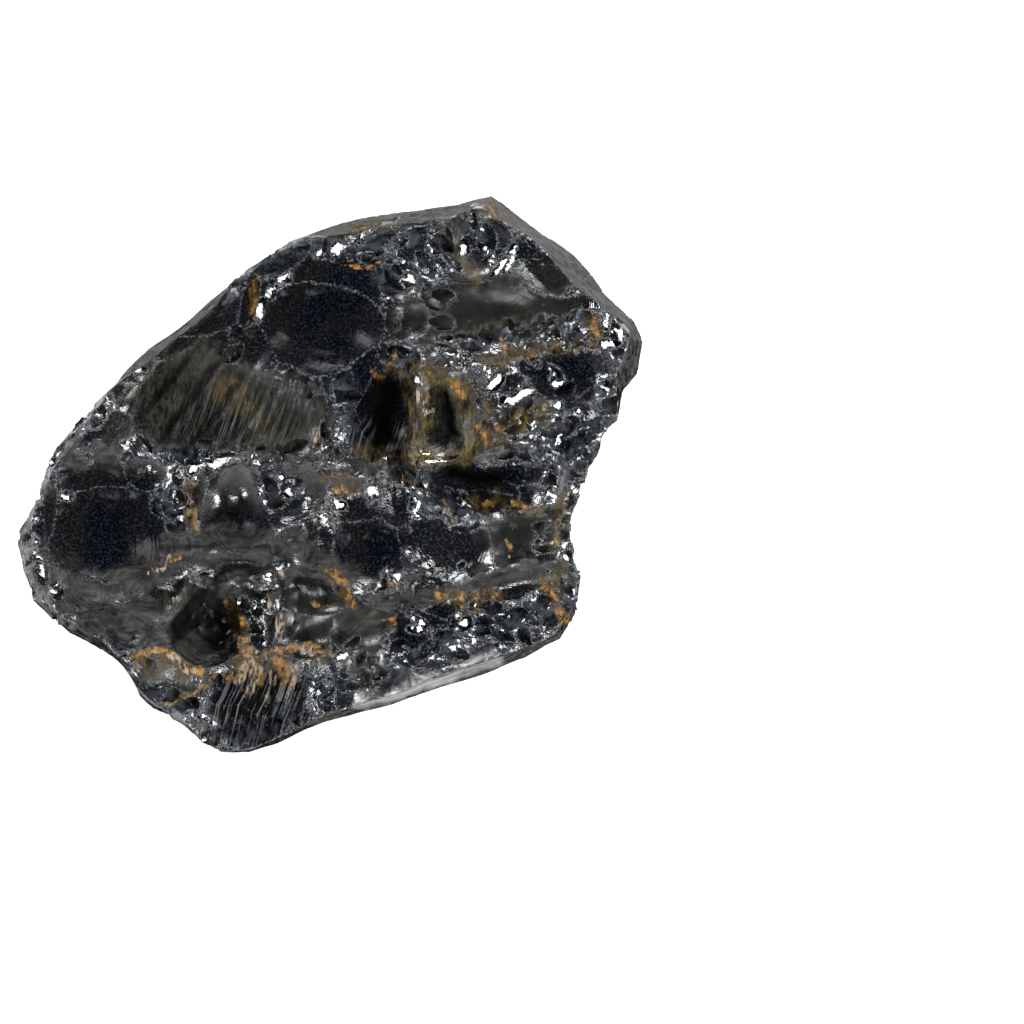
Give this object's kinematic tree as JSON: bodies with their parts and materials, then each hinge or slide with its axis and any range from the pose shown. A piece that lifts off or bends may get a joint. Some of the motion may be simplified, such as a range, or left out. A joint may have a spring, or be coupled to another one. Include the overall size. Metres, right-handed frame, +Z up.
{
  "type": "shungite specimen",
  "caption": "Hand-held lump of glossy black shungite, broken on every side into shell-shaped scars and sharp ridges, with iron stains and a flat patch to rest on.",
  "frame": {"origin": "under the middle of the stone's bounding box, on the surface that it rests on", "axes": "+Z up, away from the surface; +X along the stone's longest side; +Y towards its higher, far rim; the broken glossy face looks up"},
  "size_m": [0.0346, 0.0331, 0.0104],
  "materials": {
    "shungite": "glassy broken black stone with semi-metallic lustre, brown iron stains and a thin pale crust in its hollows"
  },
  "bodies": {
    "root": {"shungite_stone": "shungite"}
  },
  "joints": []
}
